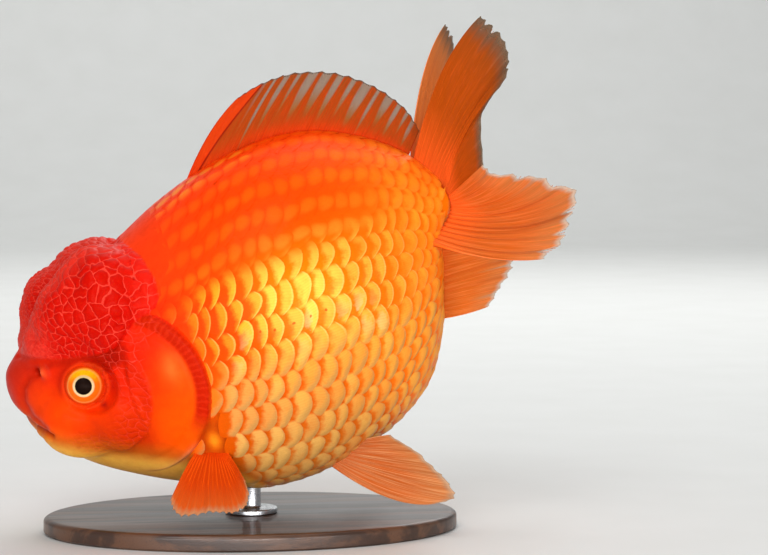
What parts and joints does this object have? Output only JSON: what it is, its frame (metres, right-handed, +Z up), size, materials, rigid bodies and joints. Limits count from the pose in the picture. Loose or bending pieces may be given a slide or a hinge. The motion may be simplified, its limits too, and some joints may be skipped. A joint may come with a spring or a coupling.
{
  "type": "oranda goldfish model on a stand",
  "caption": "Life-size still model of a round, twin-tailed fancy goldfish with a red hood, nose down, held by a rod on an oval wooden base.",
  "frame": {"origin": "centre of the underside of the stand's base", "axes": "+X from the snout towards the tail, +Y towards the fish's right side, +Z up; the fish's nose points 20 degrees below -X"},
  "size_m": [0.1479, 0.0783, 0.1382],
  "materials": {
    "skin_orange": "wet orange-red skin, smooth and glossy",
    "hood_red": "soft deep red growth with paler seams between its cells",
    "scales_gold": "glossy overlapping scales, orange on the back to pale gold on the belly",
    "fin_membrane": "thin orange membrane between fine rays, clear at the edges",
    "eye_black": "polished black pupil in a cream and gold ring",
    "stand_wood": "dark walnut, satin varnish",
    "stand_steel": "brushed stainless steel"
  },
  "bodies": {
    "root": {"head": "skin_orange", "lower_jaw": "skin_orange", "cheek_left": "skin_orange", "cheek_right": "skin_orange", "gill_cover_left": "skin_orange", "gill_cover_right": "skin_orange", "hood_left": "hood_red", "hood_right": "hood_red", "trunk": "scales_gold", "tail_base": "scales_gold", "eye_left": "eye_black", "eye_right": "eye_black", "dorsal_fin": "fin_membrane", "tail_upper_left": "fin_membrane", "tail_upper_right": "fin_membrane", "tail_lower_left": "fin_membrane", "tail_lower_right": "fin_membrane", "anal_fin_left": "fin_membrane", "anal_fin_right": "fin_membrane", "pectoral_fin_left": "fin_membrane", "pectoral_fin_right": "fin_membrane", "pelvic_fin_left": "fin_membrane", "pelvic_fin_right": "fin_membrane", "stand_base": "stand_wood", "stand_rod": "stand_steel"}
  },
  "joints": []
}
